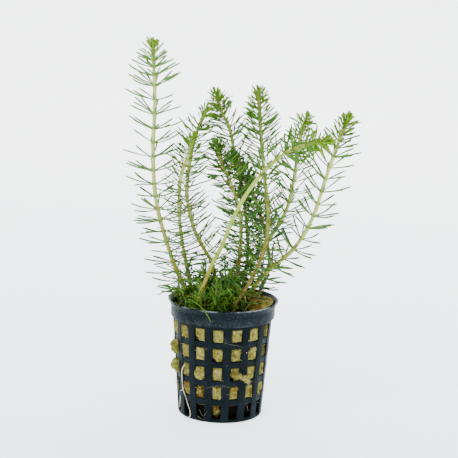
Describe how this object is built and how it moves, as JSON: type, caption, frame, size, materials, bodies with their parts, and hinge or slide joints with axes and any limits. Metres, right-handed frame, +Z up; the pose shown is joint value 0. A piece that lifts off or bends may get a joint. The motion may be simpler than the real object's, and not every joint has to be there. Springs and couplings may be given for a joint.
{
  "type": "potted whorly rotala",
  "caption": "Aquarium plant with tall thin stems and whorls of needle-like green leaves, rooted in a rock wool plug in a tapered black net pot.",
  "frame": {"origin": "centre of the pot's flat base, on the surface it stands on", "axes": "+Z up along the pot's axis, -Y towards the front of the pot as pictured, +X to the right"},
  "size_m": [0.1068, 0.0622, 0.1696],
  "materials": {
    "pot_plastic": "satin",
    "rock_wool": "matte",
    "pale_stem": "satin",
    "brown_stem": "satin",
    "leaf_green": "satin",
    "root_white": "satin"
  },
  "bodies": {
    "root": {"net_pot": "pot_plastic", "rock_wool": "rock_wool", "stem_tall_left": "pale_stem", "stem_pale_left": "pale_stem", "stem_back_left": "pale_stem", "stem_back": "pale_stem", "stem_dark_back": "brown_stem", "stem_short_middle": "brown_stem", "stem_leaning_front": "pale_stem", "stem_middle_right": "brown_stem", "stem_back_right": "pale_stem", "stem_far_right": "pale_stem", "young_shoot_1": "leaf_green", "young_shoot_2": "leaf_green", "young_shoot_3": "leaf_green", "young_shoot_4": "leaf_green", "young_shoot_5": "leaf_green", "young_shoot_6": "leaf_green", "young_shoot_7": "leaf_green", "young_shoot_8": "leaf_green", "white_root": "root_white"}
  },
  "joints": []
}
